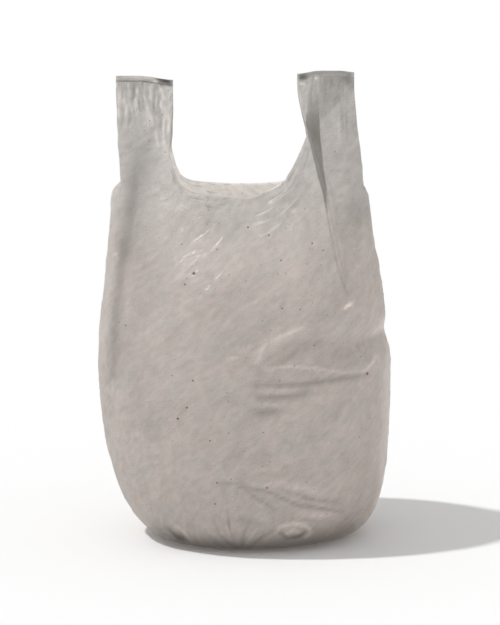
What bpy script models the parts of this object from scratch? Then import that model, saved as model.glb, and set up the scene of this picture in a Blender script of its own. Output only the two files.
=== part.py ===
"""Vest-handled bin liner of blown film, opened out and standing on its gathered base.

Units are metres, +Z is up, the front faces -Y, and the origin is the middle of the foot.
The liner is one gusseted tube of film. A U-shaped notch cut through the flattened tube
leaves two handles of four layers each, sealed across their tops.
"""
import math

import bmesh
import bpy

# The film as it leaves the bag machine, laid flat
PANEL_WIDTH = 0.325
GUSSET_DEPTH = 0.065
HANDLE_WIDTH = 0.056
FILM = 0.0005
LAYER_GAP = 0.0008
SEAL_HEIGHT = 0.005

# The body as it stands
NOTCH_HEIGHT = 0.345
BELLY_HEIGHT = 0.165
BODY_WIDTH = 0.291
BODY_DEPTH = 0.280
MOUTH_WIDTH = 0.256
MOUTH_DEPTH = 0.140
MOUTH_SHIFT = -0.0045
FOOT_WIDTH = 0.166
FOOT_DEPTH = 0.150
FOOT_SHIFT = 0.004
LEFT_FULLNESS = 1.95
RIGHT_FULLNESS = 3.1
FRONT_FULLNESS = 2.3
UPPER_FULLNESS = 1.5

# The gussets, folded in between the panels below the notch
LEFT_CREASE_ANGLE = math.radians(66)
RIGHT_CREASE_ANGLE = math.radians(74)
LEFT_GUSSET_BULGE = 0.023
RIGHT_GUSSET_BULGE = 0.013
TUCK_ROUND = 0.023
TUCK_LEAST = 0.005
TUCK_START = 0.20
OPEN_BEND = 0.5
TUCKED_BEND = 0.30
INNER_FOLD_SHARE = 0.92

# The notch's rim and its rounded corners
LEFT_SHOULDER_RISE = 0.040
RIGHT_SHOULDER_RISE = 0.062
LEFT_CORNER_POWER = 8.0
RIGHT_CORNER_POWER = 3.0
RIM_SAG_SHARE = 0.28
RIM_BAND = 0.050

# The handles, from the notch up to their seals
LEFT_TOP = 0.458
RIGHT_TOP = 0.463
LEFT_SEAL_X = -0.0985
RIGHT_SEAL_X = 0.080
LEFT_SEAL_DROOP = 0.004
RIGHT_SEAL_DROOP = 0.003
RIGHT_WAIST_PULL = 0.003
HANDLE_FOOT = 0.015
HANDLE_LEAST = 0.020
LOOP_GAP = 0.007

# The pleat that runs down from the right handle's cut edge
PLEAT_HEIGHT = 0.006
PLEAT_WIDTH = 0.013
PLEAT_SLOPE = 0.022
PLEAT_FOOT = 0.250
PLEAT_FADE = 0.070
PLEAT_HANDLE_SHARE = 0.3

# The long valleys beside the left crease and on the back
VALLEY_DEPTH = 0.006
VALLEY_PLACE = 0.018
VALLEY_WIDTH = 0.010
VALLEY_FOOT = 0.20
VALLEY_FADE = 0.12
BACK_VALLEY_PLACE = 0.036

# The folds that run in from a nip in the right side
NIP_DEPTH = 0.010
NIP_HEIGHT = 0.208
NIP_WIDTH = 0.014
RIDGE_DEPTH = 0.005
RIDGE_DROP = 0.012
RIDGE_SLANT = 0.25
RIDGE_WIDTH = 0.012
RIDGE_PLACE = 0.085
RIDGE_REACH = 0.050
RIDGE_TROUGH = 0.026

# The gathers below the seals, the rim's wrinkles and the base's pleats
GATHER_DEPTH = 0.0016
GATHER_COUNT = 2
GATHER_LENGTH = 0.055
WRINKLE_DEPTH = 0.002
WRINKLE_PITCH = 0.028
WRINKLE_BAND = 0.040
WRINKLE_LEAN = 40.0
BASE_PLEAT_DEPTH = 0.0045
BASE_PLEAT_COUNT = 11
BASE_PLEAT_REACH = 0.085
UNDER_PLEAT_DEPTH = 0.0018

# How finely each stretch of film is divided
NOTCH_COLUMNS = 16
STRIP_COLUMNS = 5
FOOT_ROWS = 4
CURVE_ROWS = 10
WALL_ROWS = 9
RIM_ROWS = 6
HANDLE_ROWS = 9
CREASE_LIP = 0.0012
BASE_DISC = 0.010
STRIP_STEPS = 12
MIDDLE_ANGLE = 0.1
ROUNDING = 1e-6

LAYER_PITCH = FILM + LAYER_GAP
HALF_PANEL = PANEL_WIDTH / 2
STRIP_EDGE = HALF_PANEL - HANDLE_WIDTH
GUSSET_STRIP = min(HANDLE_WIDTH, GUSSET_DEPTH * INNER_FOLD_SHARE)
HANDLE_START = NOTCH_HEIGHT - HANDLE_FOOT
RIM_START = NOTCH_HEIGHT - RIM_BAND
HALF_SEAL = HANDLE_WIDTH / 2


def ease(value):
    """A smooth step from 0 to 1."""
    t = min(max(value, 0.0), 1.0)
    return t * t * (3 - 2 * t)


def hump(value, centre, spread):
    """A rounded bump of height 1 at its centre."""
    return math.exp(-(((value - centre) / spread) ** 2))


def mix(low, high, share):
    return low + (high - low) * share


def choose(side, left, right):
    return left if side < 0 else right


def top_height(side):
    return choose(side, LEFT_TOP, RIGHT_TOP)


def seal_foot(side):
    """The height at which a handle's seal begins."""
    return top_height(side) - SEAL_HEIGHT


def shoulder(side):
    """The height at which the notch's corner turns into the handle's cut edge."""
    rise = choose(side, LEFT_SHOULDER_RISE, RIGHT_SHOULDER_RISE)
    return min(NOTCH_HEIGHT + rise, seal_foot(side) - HANDLE_LEAST)


def filled_out(height, fullness):
    """How far the base's curve has swelled from the foot to the belly, from 0 to 1."""
    fall = 1 - min(max(height / BELLY_HEIGHT, 0.0), 1.0)
    return (1 - fall**fullness) ** (1 / fullness)


def half_sizes(side, height):
    """Half the width and half the depth of the section at a height."""
    belly_x = BODY_WIDTH / 2
    belly_y = BODY_DEPTH / 2
    if height < BELLY_HEIGHT:
        foot_x = FOOT_WIDTH / 2 + side * FOOT_SHIFT
        across = filled_out(height, choose(side, LEFT_FULLNESS, RIGHT_FULLNESS))
        along = filled_out(height, FRONT_FULLNESS)
        return mix(foot_x, belly_x, across), mix(FOOT_DEPTH / 2, belly_y, along)
    climb = min((height - BELLY_HEIGHT) / (NOTCH_HEIGHT - BELLY_HEIGHT), 1.0)
    share = 0.5 - 0.5 * math.cos(math.pi * climb**UPPER_FULLNESS)
    mouth_x = MOUTH_WIDTH / 2 + side * MOUTH_SHIFT
    return mix(belly_x, mouth_x, share), mix(belly_y, MOUTH_DEPTH / 2, share)


def crease_angle(side, height):
    """Where the gusset crease lies round the section, from the panel's middle."""
    belly = PANEL_WIDTH / BODY_WIDTH
    climb = (height - BELLY_HEIGHT) / (NOTCH_HEIGHT - BELLY_HEIGHT)
    return mix(belly, choose(side, LEFT_CREASE_ANGLE, RIGHT_CREASE_ANGLE), ease(climb))


def strip_angle(half_x, half_y, crease):
    """The angle at which the handle's strip of panel ends, measured along the curve."""
    angle = crease
    for _ in range(STRIP_STEPS):
        reach = math.hypot(half_x * math.cos(angle), half_y * math.sin(angle))
        angle -= HANDLE_WIDTH / STRIP_STEPS / reach
    return max(angle, MIDDLE_ANGLE)


def gusset_point(side, start, half_x, height, share):
    """A point of the gusset between its crease and its inner fold."""
    tuck = max(GUSSET_DEPTH - TUCK_ROUND, TUCK_LEAST)
    bulge = choose(side, LEFT_GUSSET_BULGE, RIGHT_GUSSET_BULGE)
    fold_in = ease((height - TUCK_START) / (NOTCH_HEIGHT - TUCK_START))
    inner = mix(half_x, abs(start[0]) - tuck, fold_in)
    outer = mix(half_x, half_x + bulge, fold_in)
    bend_y = start[1] * mix(OPEN_BEND, TUCKED_BEND, fold_in)
    first = (1 - share) ** 2
    middle = 2 * share * (1 - share)
    last = share**2
    x = first * start[0] + (middle * outer + last * inner) * side
    return x, first * start[1] + middle * bend_y


def body_point(side, front, along, height):
    """The puffed section: along runs from the panel's middle to the gusset's inner fold."""
    half_x, half_y = half_sizes(side, height)
    crease = crease_angle(side, height)
    edge = strip_angle(half_x, half_y, crease)
    if along <= STRIP_EDGE:
        angle = edge * along / STRIP_EDGE
    else:
        angle = mix(edge, crease, (along - STRIP_EDGE) / HANDLE_WIDTH)
    angle = min(angle, crease)
    start = (side * half_x * math.sin(angle), front * half_y * math.cos(angle))
    if along <= HALF_PANEL:
        return start
    return gusset_point(side, start, half_x, height, (along - HALF_PANEL) / GUSSET_DEPTH)


def seal_point(side, front, along):
    """Where the same film ends in the flat, four-layered seal of its handle."""
    distance = abs(along - HALF_PANEL)
    lip = min(distance / CREASE_LIP, 1.0) * LAYER_PITCH / 2
    layer = LAYER_PITCH + (lip if along <= HALF_PANEL else -lip)
    x = choose(side, LEFT_SEAL_X, RIGHT_SEAL_X) + side * (HALF_SEAL - distance)
    return x, front * layer


def rim_height(side, along):
    """The cut edge of the notch: a shallow sag with a rounded corner at each end."""
    rise = shoulder(side) - NOTCH_HEIGHT
    if along <= STRIP_EDGE:
        near = along / STRIP_EDGE
        corner = near ** choose(side, LEFT_CORNER_POWER, RIGHT_CORNER_POWER)
        return NOTCH_HEIGHT + rise * mix(corner, near**2, RIM_SAG_SHARE)
    if along <= HALF_PANEL + GUSSET_STRIP:
        return NOTCH_HEIGHT + rise
    past = (along - HALF_PANEL - GUSSET_STRIP) / (GUSSET_DEPTH - GUSSET_STRIP)
    return NOTCH_HEIGHT + rise * (1 - math.sqrt(max(1 - (1 - past) ** 2, 0.0)))


def pleat(along, height):
    """A sharp ridge in line with the right handle's cut edge, and the valley outside it."""
    upper = ease((height - PLEAT_FOOT) / PLEAT_FADE)
    upper *= mix(1.0, PLEAT_HANDLE_SHARE, ease((height - NOTCH_HEIGHT) / RIGHT_SHOULDER_RISE))
    past = along - STRIP_EDGE
    if past <= 0:
        return PLEAT_HEIGHT * upper * math.exp(past / PLEAT_SLOPE)
    if past < PLEAT_WIDTH:
        return PLEAT_HEIGHT * upper * (1 - 2 * past / PLEAT_WIDTH)
    return -PLEAT_HEIGHT * upper * math.exp((PLEAT_WIDTH - past) / PLEAT_SLOPE)


def valley(side, along, height, place):
    """A long soft valley beside a crease, fading out on the handle."""
    upper = ease((height - VALLEY_FOOT) / VALLEY_FADE)
    upper *= 1 - ease((height - shoulder(side)) / HANDLE_LEAST)
    return -VALLEY_DEPTH * upper * hump(along, HALF_PANEL - place, VALLEY_WIDTH)


def nip(front, along, height):
    """The nip in the right side, and the ridge and trough that slant in from it."""
    depth = -NIP_DEPTH * hump(height, NIP_HEIGHT, NIP_WIDTH) * hump(along, HALF_PANEL, RIDGE_REACH)
    if front < 0:
        line = NIP_HEIGHT - RIDGE_DROP - RIDGE_SLANT * (STRIP_EDGE - along)
        wave = hump(height, line, RIDGE_WIDTH) - hump(height, line - RIDGE_TROUGH, RIDGE_WIDTH)
        depth += RIDGE_DEPTH * wave * hump(along, RIDGE_PLACE, RIDGE_REACH)
    return depth


def rim_wrinkles(side, along, height):
    """Wrinkles that run along the notch's rim."""
    if along >= STRIP_EDGE:
        return 0.0
    near = ease(1 - (rim_height(side, along) - height) / WRINKLE_BAND)
    wave = math.sin(2 * math.pi * height / WRINKLE_PITCH + along * WRINKLE_LEAN)
    return WRINKLE_DEPTH * near * wave


def fold_depth(side, front, along, height):
    """How far the film's folds stand out of, or into, its smooth form."""
    depth = rim_wrinkles(side, along, height)
    if side > 0:
        depth += nip(front, along, height)
    if front > 0:
        return depth + valley(side, along, height, BACK_VALLEY_PLACE)
    if side > 0:
        return depth + pleat(along, height)
    return depth + valley(side, along, height, VALLEY_PLACE)


def base_pleat(angle, height):
    """The gathered base's radial pleats, deepest where the film turns under."""
    fade = ease(1 - height / BASE_PLEAT_REACH)
    wave = math.cos(BASE_PLEAT_COUNT * angle + 2 * math.sin(2 * angle))
    return -BASE_PLEAT_DEPTH * fade * (0.5 + 0.5 * wave)


def column_places():
    """Each column as (side, front, distance along the film from the panel's middle)."""
    half_notch = NOTCH_COLUMNS // 2
    steps = STRIP_COLUMNS - 1
    pleat_foot = STRIP_EDGE + PLEAT_WIDTH
    lip = HALF_PANEL - CREASE_LIP
    outward = [STRIP_EDGE * i / half_notch for i in range(half_notch)]
    outward.append(STRIP_EDGE)
    outward += [mix(pleat_foot, lip, i / (steps - 1)) for i in range(steps)]
    outward.append(HALF_PANEL)
    start = HALF_PANEL + CREASE_LIP
    outward += [mix(start, HALF_PANEL + GUSSET_STRIP, i / steps) for i in range(STRIP_COLUMNS)]
    outward.append(HALF_PANEL + GUSSET_DEPTH)
    inward = outward[::-1]
    runs = ((-1, 1, outward), (-1, -1, inward), (1, -1, outward), (1, 1, inward))
    return [(side, front, along) for side, front, run in runs for along in run[:-1]]


def body_rows():
    """Body rows as (share of the foot's radius, height, share of the way to the rim)."""
    start = BASE_DISC / (FOOT_DEPTH / 2)
    rows = [(mix(start, 1.0, i / FOOT_ROWS), 0.0, 0.0) for i in range(FOOT_ROWS)]
    for i in range(CURVE_ROWS):
        turn = math.pi / 2 * i / CURVE_ROWS
        rows.append((1.0, BELLY_HEIGHT * (1 - math.cos(turn)), 0.0))
    for i in range(WALL_ROWS):
        rows.append((1.0, mix(BELLY_HEIGHT, RIM_START, i / WALL_ROWS), 0.0))
    for i in range(RIM_ROWS + 1):
        rows.append((1.0, RIM_START, i / RIM_ROWS))
    return rows


def handle_height(side, step):
    """The heights of a handle's rows above the shoulder, the last being the seal's top."""
    if step == HANDLE_ROWS - 1:
        return top_height(side)
    return mix(shoulder(side), seal_foot(side), (step + 1) / (HANDLE_ROWS - 1))


def in_handle(column):
    """Whether a column goes on past the notch into a handle."""
    return STRIP_EDGE - ROUNDING <= column[2] <= HALF_PANEL + GUSSET_STRIP + ROUNDING


def folded_point(column, height):
    """A point of the puffed section with its folds."""
    side, front, along = column
    x, y = body_point(side, front, along, height)
    depth = fold_depth(side, front, along, height)
    depth += base_pleat(math.atan2(x, -y), height)
    scale = 1 + depth / math.hypot(x, y)
    return x * scale, y * scale


def body_place(column, row):
    """A vertex of the body, from the base disc up to the notch."""
    share, height, to_rim = row
    if to_rim:
        height = mix(height, rim_height(column[0], column[2]), to_rim)
    if height > HANDLE_START:
        return handle_place(column, height)
    x, y = folded_point(column, height)
    lift = 0.0
    if share < 1.0:
        wave = math.cos(BASE_PLEAT_COUNT * math.atan2(x, -y))
        lift = UNDER_PLEAT_DEPTH * math.sin(math.pi * share) ** 2 * (0.5 + 0.5 * wave)
    return x * share, y * share, height + lift + FILM / 2


def gathers(side, x, height):
    """The waves that run down a handle from its seal, the same for every layer."""
    below = seal_foot(side) - height
    grip = ease(1 - below / GATHER_LENGTH) * ease(below / SEAL_HEIGHT / 2)
    return GATHER_DEPTH * grip * math.cos(2 * math.pi * GATHER_COUNT * x / HANDLE_WIDTH)


def handle_place(column, height):
    """A vertex of a handle, between the puffed section and the flat seal."""
    side, front, along = column
    climb = min((height - HANDLE_START) / (seal_foot(side) - HANDLE_START), 1.0)
    base_x, base_y = folded_point(column, min(height, NOTCH_HEIGHT))
    end_x, end_y = seal_point(side, front, along)
    near = 1.0
    if along < STRIP_EDGE:
        near = math.sqrt(max(1 - (STRIP_EDGE - along) / HANDLE_WIDTH, 0.0))
    x = mix(base_x, end_x, ease(climb) * near)
    y = mix(base_y, end_y, climb * near)
    inner = min(max((HALF_PANEL - along) / HANDLE_WIDTH, 0.0), 1.0)
    x += choose(side, 0.0, RIGHT_WAIST_PULL) * math.sin(math.pi * climb) ** 2 * inner * near
    y += gathers(side, x, height)
    droop = choose(side, LEFT_SEAL_DROOP, RIGHT_SEAL_DROOP) * inner * near * ease(climb)
    if HALF_PANEL < along <= HALF_PANEL + GUSSET_STRIP + ROUNDING:
        return beside_panel_strip((x, y), column, height, climb)
    return x, y, height - droop + FILM / 2


def beside_panel_strip(place, column, height, climb):
    """Above the notch a gusset strip lies close behind the panel strip it is folded from."""
    side, front, along = column
    x, y, z = handle_place((side, front, PANEL_WIDTH - along), height)
    lip = mix(LOOP_GAP, CREASE_LIP, climb)
    y -= front * mix(LOOP_GAP, LAYER_PITCH, climb) * min((along - HALF_PANEL) / lip, 1.0)
    rise = shoulder(side) - HANDLE_START
    join = ease((height - HANDLE_START) / rise)
    return mix(place[0], x, join), mix(place[1], y, join), mix(height + FILM / 2, z, join)


def film_surface():
    """The liner's middle surface, one sheet of quads with its seals closed."""
    columns = column_places()
    rows = body_rows()
    count = len(columns)
    bm = bmesh.new()
    bmesh.ops.create_grid(
        bm, x_segments=count, y_segments=len(rows) - 1 + HANDLE_ROWS, size=1.0
    )
    bm.verts.ensure_lookup_table()
    width = count + 1
    grid = [bm.verts[i : i + width] for i in range(0, len(bm.verts), width)]
    unused = []
    for j, line in enumerate(grid):
        for i, vert in enumerate(line):
            column = columns[i % count]
            if j < len(rows):
                vert.co = body_place(column, rows[j])
            elif in_handle(column):
                height = handle_height(column[0], j - len(rows))
                inner_layer = column[2] > HALF_PANEL and j == len(grid) - 1
                x, y, z = handle_place(column, height)
                vert.co = (x, y, z - (LAYER_PITCH if inner_layer else 0.0))
            else:
                unused.append(vert)
    seams = [(column, grid[-1][i]) for i, column in enumerate(columns) if in_handle(column)]
    bmesh.ops.delete(bm, geom=unused, context="VERTS")
    close_seals(bm, seams)
    bmesh.ops.contextual_create(bm, geom=[e for e in bm.edges if e.is_boundary and at_base(e)])
    bmesh.ops.remove_doubles(bm, verts=bm.verts, dist=ROUNDING)
    bmesh.ops.recalc_face_normals(bm, faces=bm.faces)
    return bm


def at_base(edge):
    return all(v.co.xy.length < BASE_DISC * 1.2 for v in edge.verts)


def close_seals(bm, seams):
    """Join the front and back layers of each handle over its top."""
    for side in (-1, 1):
        front = sorted((c[2], v) for c, v in seams if c[0] == side and c[1] < 0)
        back = sorted((c[2], v) for c, v in seams if c[0] == side and c[1] > 0)
        for (_, a), (_, b), (_, c), (_, d) in zip(front, front[1:], back[1:], back):
            bm.faces.new((a, b, c, d))


def film_material():
    material = bpy.data.materials.new("recycled_film")
    material.use_nodes = True
    shader = material.node_tree.nodes["Principled BSDF"]
    shader.inputs["Base Color"].default_value = (0.47, 0.43, 0.40, 1.0)
    shader.inputs["Roughness"].default_value = 0.4
    shader.inputs["Metallic"].default_value = 0.0
    return material


def make_liner():
    """Give the middle surface the film's thickness and put it in the scene."""
    bm = film_surface()
    mesh = bpy.data.meshes.new("liner_film")
    bm.to_mesh(mesh)
    bm.free()
    mesh.shade_smooth()
    liner = bpy.data.objects.new("liner_film", mesh)
    bpy.context.scene.collection.objects.link(liner)
    liner.data.materials.append(film_material())
    wall = liner.modifiers.new("film", "SOLIDIFY")
    wall.thickness = FILM
    wall.offset = 0.0
    return liner


def main():
    for old in list(bpy.data.objects):
        bpy.data.objects.remove(old)
    make_liner()


main()
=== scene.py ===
"""The look of a vest-handled bin liner of recycled film, on a plain pale floor."""

import math

import bmesh
import bpy
import numpy as np
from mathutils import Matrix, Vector, noise


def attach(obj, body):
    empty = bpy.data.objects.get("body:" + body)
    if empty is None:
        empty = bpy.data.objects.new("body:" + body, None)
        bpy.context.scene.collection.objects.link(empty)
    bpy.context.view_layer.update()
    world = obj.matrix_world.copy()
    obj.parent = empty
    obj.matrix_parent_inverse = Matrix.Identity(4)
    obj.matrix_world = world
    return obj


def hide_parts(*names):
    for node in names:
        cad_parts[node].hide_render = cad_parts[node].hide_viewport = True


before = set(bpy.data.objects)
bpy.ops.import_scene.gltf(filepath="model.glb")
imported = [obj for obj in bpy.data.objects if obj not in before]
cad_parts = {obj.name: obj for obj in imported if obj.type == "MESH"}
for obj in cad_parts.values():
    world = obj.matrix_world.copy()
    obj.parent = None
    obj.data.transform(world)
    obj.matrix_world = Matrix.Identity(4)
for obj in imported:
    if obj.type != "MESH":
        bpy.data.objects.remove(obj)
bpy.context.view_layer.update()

# The film as it leaves the bag machine, laid flat
PANEL_WIDTH = 0.325
GUSSET_DEPTH = 0.065
HANDLE_WIDTH = 0.056
FILM = 0.0003
LAYER_PITCH = 0.0013
SEAL_HEIGHT = 0.005

# The body as it stands
NOTCH_HEIGHT = 0.345
BELLY_HEIGHT = 0.165
BODY_WIDTH = 0.291
BODY_DEPTH = 0.280
MOUTH_WIDTH = 0.256
MOUTH_DEPTH = 0.150
MOUTH_SHIFT = -0.0045
FOOT_WIDTH = 0.166
FOOT_DEPTH = 0.150
FOOT_SHIFT = 0.004
LEFT_FULLNESS = 1.95
RIGHT_FULLNESS = 3.1
FRONT_FULLNESS = 2.3
UPPER_FULLNESS = 1.5
BASE_DISC = 0.006
BASE_DISC_REACH = 1.3

# The gussets, folded in between the panels below the notch
LEFT_CREASE_ANGLE = math.radians(66)
RIGHT_CREASE_ANGLE = math.radians(74)
LEFT_GUSSET_BULGE = 0.023
RIGHT_GUSSET_BULGE = 0.013
TUCK_ROUND = 0.023
TUCK_START = 0.20
CREASE_LIP = 0.0012
GUSSET_BEND_LOW = 0.5
GUSSET_BEND_TOP = 0.30
SMALLEST_ANGLE = 0.1

# The notch's rim, and the handles up to their seals
LEFT_SHOULDER_RISE = 0.040
RIGHT_SHOULDER_RISE = 0.062
LEFT_CORNER_POWER = 9.0
RIGHT_CORNER_POWER = 1.7
LEFT_BACK_CORNER_POWER = 12.0
RIGHT_BACK_CORNER_POWER = 8.0
RIM_SAG_SHARE = 0.20
LEFT_TOP = 0.458
RIGHT_TOP = 0.463
LEFT_SEAL_X = -0.0985
RIGHT_SEAL_X = 0.080
LEFT_SEAL_DROOP = 0.004
RIGHT_SEAL_DROOP = 0.003
HANDLE_FOOT = 0.015
LOOP_GAP = 0.007

# How finely each stretch of film is divided
FRONT_NOTCH_COLUMNS = 92
BACK_NOTCH_COLUMNS = 34
FRONT_STRIP_COLUMNS = 38
BACK_STRIP_COLUMNS = 11
GUSSET_COLUMNS = 11
FOOT_ROWS = 14
CURVE_ROWS = 66
WALL_ROWS = 54
RIM_ROWS = 24
HANDLE_ROWS = 48
SEAL_ROWS = (0.0050, 0.0038, 0.0012)

# The right handle's pleat: a ridge in line with the cut edge, and a valley outside it
PLEAT_START = 0.250
PLEAT_GROWTH = 0.07
PLEAT_FADE = 0.37
PLEAT_FADE_LENGTH = 0.06
PLEAT_TOP_SHARE = 0.45
PLEAT_HEIGHT = 0.006
PLEAT_STEP = 0.001
PLEAT_LIP = 0.003
PLEAT_VALLEY = 0.013
PLEAT_REACH = 0.020

# The dent in the right side: how deep, how high up, and its spread up and round
DENT_DEPTH = 0.009
DENT_HEIGHT = 0.206
DENT_SPREAD_UP = 0.014
DENT_SPREAD_ROUND = 0.085

# Grooves beside the gusset creases: (distance from the crease, spread), and where they
# grow and fade as (height, length)
GROOVE_DEPTH = 0.005
LEFT_FRONT_GROOVE = (0.016, 0.008)
LEFT_FRONT_GROWTH = (0.20, 0.12)
LEFT_FRONT_FADE = (0.39, 0.05)
BACK_GROOVE = (0.036, 0.012)
BACK_GROWTH = (0.21, 0.08)
BACK_FADE_LENGTH = 0.03

# The seals' droop, which starts at a share of the way in from the gusset crease
LEFT_DROOP_START = 0.4
RIGHT_DROOP_START = 0.6
RIGHT_CORNER_DROP = 0.0016
RIGHT_CORNER_SHARE = 0.25

# The handles' wavy edges, and how a gusset strip comes to lie behind its panel strip
EDGE_WOBBLE = 0.0011
EDGE_WAVES = 55
STRIP_JOIN_START = 0.004
STRIP_JOIN_REACH = (0.010, 0.060)

# The waves that run down from a pinched seal: (height, waves across, waves up, seed)
PINCH_WAVES = ((0.0034, 190, 20, 3.1), (0.0016, 420, 40, 7.7))
LEFT_PINCH_LENGTH = 0.055
RIGHT_PINCH_LENGTH = 0.030
PINCH_LEAN = 0.10
PINCH_RISE = 0.006

# The crumple of handled film, whose streaks climb to the right: (height, waves along the
# streaks, waves across them, seed)
STREAK_ACROSS = 0.83
STREAK_UP = 0.56
SOFT_DENTS = (0.0011, 14, 30, 1.0)
SMALL_DENTS = (0.0005, 32, 75, 5.0)
SHARP_CREASES = (0.0006, 26, 60, 9.0)
FINE_CREASES = (0.0002, 60, 130, 13.0)
CREASE_POWER = 4

# Where the crumple calms, up the handles and down at the ground
CALM_START = 0.375
CALM_LENGTH = 0.03
CALM_SHARE = 0.93
GROUND_START = 0.002
GROUND_LENGTH = 0.02

# How marks of the front end at the sides, taper along their lines, and darken at most
FACING_GAIN = 2.5
FACING_LEAST = 0.02
FRONT_LIMIT = 0.004
MIDDLE_CLEAR = 0.03
TAPER = 0.75
DARKEST = 0.1
OUTSIDE = -9.0

# The inside of the back's rim, painted paler as light coming through the film: how much, and
# where it starts and ends
RIM_GLOW = 0.30
RIM_GLOW_START = 0.318
RIM_GLOW_GROWTH = 0.02
RIM_GLOW_FADE = 0.36
RIM_GLOW_FADE_LENGTH = 0.03

# The film's mottle: (strength, waves to the metre, detail, distortion, along the streaks)
MOTTLE = (
    (0.34, 34.0, 4.0, 0.4, True),
    (0.26, 75.0, 3.0, 0.8, False),
    (0.46, 210.0, 3.0, 0.3, True),
    (0.70, 900.0, 2.0, 0.0, False),
)
MOTTLE_TURN = math.radians(-32)
MOTTLE_STRETCH = 2.4
WARMTH_WAVES = 52.0
WARMTH_RANGE = (0.38, 0.62)

# Ridges of the surface: (waves to the metre, height in metres)
CRINKLES = ((90.0, 0.00050), (230.0, 0.00026), (560.0, 0.00010))
SEAL_RIDGES = ((150.0, 0.0011), (330.0, 0.00045))
RIM_RIDGES = ((210.0, 0.0011), (430.0, 0.0005))
CRINKLE_TURN = math.radians(-36)
CRINKLE_STRETCH = 3.0
SEAL_TURN = math.radians(94)
SEAL_STRETCH = 5.0
RIM_STRETCH = 9.0

# Where the ridges below the seals, and the highlights painted on them as pale strokes, come in,
# by height up the film, and their strength on the right and on the left
SEAL_RIDGE_RANGE = (0.396, 0.445)
STROKE_RANGE = (0.398, 0.425)
STROKE_WAVES = 300.0
STROKE_CUT = (0.53, 0.61)
STROKE_GAP = 0.0015
STROKE_STRENGTH = (0.15, 0.95)
SEAL_LINE = (0.0003, 0.0009)
SEAL_LINE_STRENGTH = (0.5, 1.6)

# Where the rim's ridges, its dark lines of painted crease shade and its painted glints run, by
# distance below and along the cut edge
RIM_FADE = (0.006, 0.034)
RIM_LIP = (-0.001, 0.002)
RIM_END = 0.008
RIM_CORNER = (0.01, 0.06)
RIM_MIDDLE_SHARE = 0.25
RIM_LINE_WAVES = 330.0
RIM_LINE_CUT = (0.60, 0.66)
PULLED_WAVES = 300.0
PULLED_CUT = (0.55, 0.62)
PULLED_ZONE = (
    ("X", 0.006, 0.020, 0.0, 1.0),
    ("X", 0.060, 0.078, 1.0, 0.0),
    ("Y", 0.006, 0.014, 0.0, 1.0),
    ("Y", 0.032, 0.048, 1.0, 0.0),
)

# Random specks: (cells to the metre, radius in cells, share of the cells with a speck)
RANDOM_SPECKS = ((62.0, 0.050, 0.16), (120.0, 0.075, 0.07), (260.0, 0.11, 0.04))

# The film's colours, its painted shade, light and glints, and how strongly its marks show
COOL_FILM = (0.654, 0.618, 0.584, 1.0)
WARM_FILM = (0.682, 0.623, 0.588, 1.0)
# The upper film and handles: greyer in tint, and painted lighter towards the top
GREYER_PAINTED_LIGHTER_UPPER_FILM = (0.730, 0.708, 0.684, 1.0)
# Painted shade: the shadow beside the pleat and the shade of the folded corner
PAINTED_SHADE_FILM = (0.10, 0.09, 0.08, 1.0)
# Painted light on the left gusset's strip
PAINTED_LIGHT_FILM = (0.95, 0.94, 0.93, 1.0)
# Dark lines: painted crease shade along the rim, and lines along the seals' lower edges
LINE_TONE = (0.20, 0.19, 0.18, 1.0)
# Painted glints: pale strokes below the seals and along the rim's taut creases
PAINTED_GLINT_FILM = (0.97, 0.96, 0.95, 1.0)
SPECK_TONE = (0.030, 0.026, 0.024, 1.0)
LIT_THROUGH = (1.0, 0.985, 0.97, 1.0)
UPPER_RANGE = (0.24, 0.39)
EDGE_BLUR = 0.6
# How strongly the painted shadow, painted corner shade and painted lit strip show
BAND_FADE = (0.405, 0.452, 0.60, 0.04)
CORNER_SHARE = 0.18
STRIP_SHARE = 0.15
LINE_SHARE = 0.35
PAINTED_GLINT_SHARE = 0.75
PALER_THROUGH = 0.55
SHARE_THROUGH = 0.60
FILM_ROUGHNESS = 0.27
FILM_GLOSS = 0.85

# The point looked at, how far away and how high the eye is, and its lens
LOOK_AT = Vector((0.0055, 0.0, 0.2225))
EYE_DISTANCE = 2.6
EYE_TILT = math.radians(8)
LENS = 150.0
PICTURE_HEIGHT = 36.0

# The studio
SKY_LIGHT = 0.60
KEY_LIGHT = 1.65
KEY_ANGLE = math.radians(3)
KEY_DIRECTION = Vector((0.487, 0.096, -0.869))
FLOOR_SIZE = 40.0
FLOOR_COLOR = (0.95, 0.95, 0.95, 1.0)

# Room for rounding, and lengths worked out from those above
TINY = 1e-6
HALF_PANEL = PANEL_WIDTH / 2
STRIP_EDGE = HALF_PANEL - HANDLE_WIDTH
MOUTH_START = NOTCH_HEIGHT - 0.05
HANDLE_START = NOTCH_HEIGHT - HANDLE_FOOT
HALF_SEAL = HANDLE_WIDTH / 2

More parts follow.
